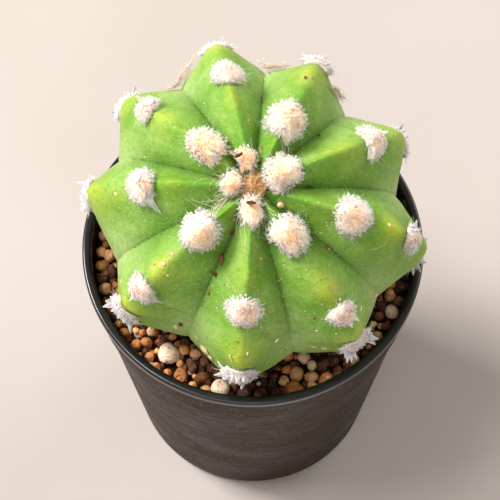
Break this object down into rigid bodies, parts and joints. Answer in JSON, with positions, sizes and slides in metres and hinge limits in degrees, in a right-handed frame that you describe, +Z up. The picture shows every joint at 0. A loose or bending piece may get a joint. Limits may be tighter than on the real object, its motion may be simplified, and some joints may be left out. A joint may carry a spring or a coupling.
{
  "type": "potted domino cactus",
  "caption": "Round, deeply ribbed cactus with cream woolly areoles, in a tapered black plastic nursery pot topped with clay granules.",
  "frame": {"origin": "centre of the pot's flat underside, on the surface that the pot stands on", "axes": "+Z up; -Y towards the front, the way the plant leans and the picture looks from; +X to the viewer's right"},
  "size_m": [0.0925, 0.0909, 0.1476],
  "materials": {
    "pot_plastic": "satin",
    "soil_pebbles": "matte",
    "cactus_skin": "satin",
    "areole_wool": "matte",
    "dried_flower": "matte"
  },
  "bodies": {
    "root": {"areole_rib1_1": "areole_wool", "areole_rib1_2": "areole_wool", "areole_rib1_3": "areole_wool", "areole_rib1_4": "areole_wool", "areole_rib2_1": "areole_wool", "areole_rib2_2": "areole_wool", "areole_rib2_3": "areole_wool", "areole_rib3_1": "areole_wool", "areole_rib3_2": "areole_wool", "areole_rib3_3": "areole_wool", "areole_rib3_4": "areole_wool", "areole_rib4_1": "areole_wool", "areole_rib4_2": "areole_wool", "areole_rib4_3": "areole_wool", "areole_rib5_1": "areole_wool", "areole_rib5_2": "areole_wool", "areole_rib5_3": "areole_wool", "areole_rib6_1": "areole_wool", "areole_rib6_2": "areole_wool", "areole_rib6_3": "areole_wool", "areole_rib7_1": "areole_wool", "areole_rib7_2": "areole_wool", "areole_rib7_3": "areole_wool", "areole_rib8_1": "areole_wool", "areole_rib8_2": "areole_wool", "areole_rib8_3": "areole_wool", "areole_rib8_4": "areole_wool", "areole_rib9_1": "areole_wool", "areole_rib9_2": "areole_wool", "areole_rib9_3": "areole_wool", "areole_rib9_4": "areole_wool", "cactus_body": "cactus_skin", "dried_flower_1": "dried_flower", "dried_flower_2": "dried_flower", "dried_flower_3": "dried_flower", "pot": "pot_plastic", "soil": "soil_pebbles"}
  },
  "joints": []
}
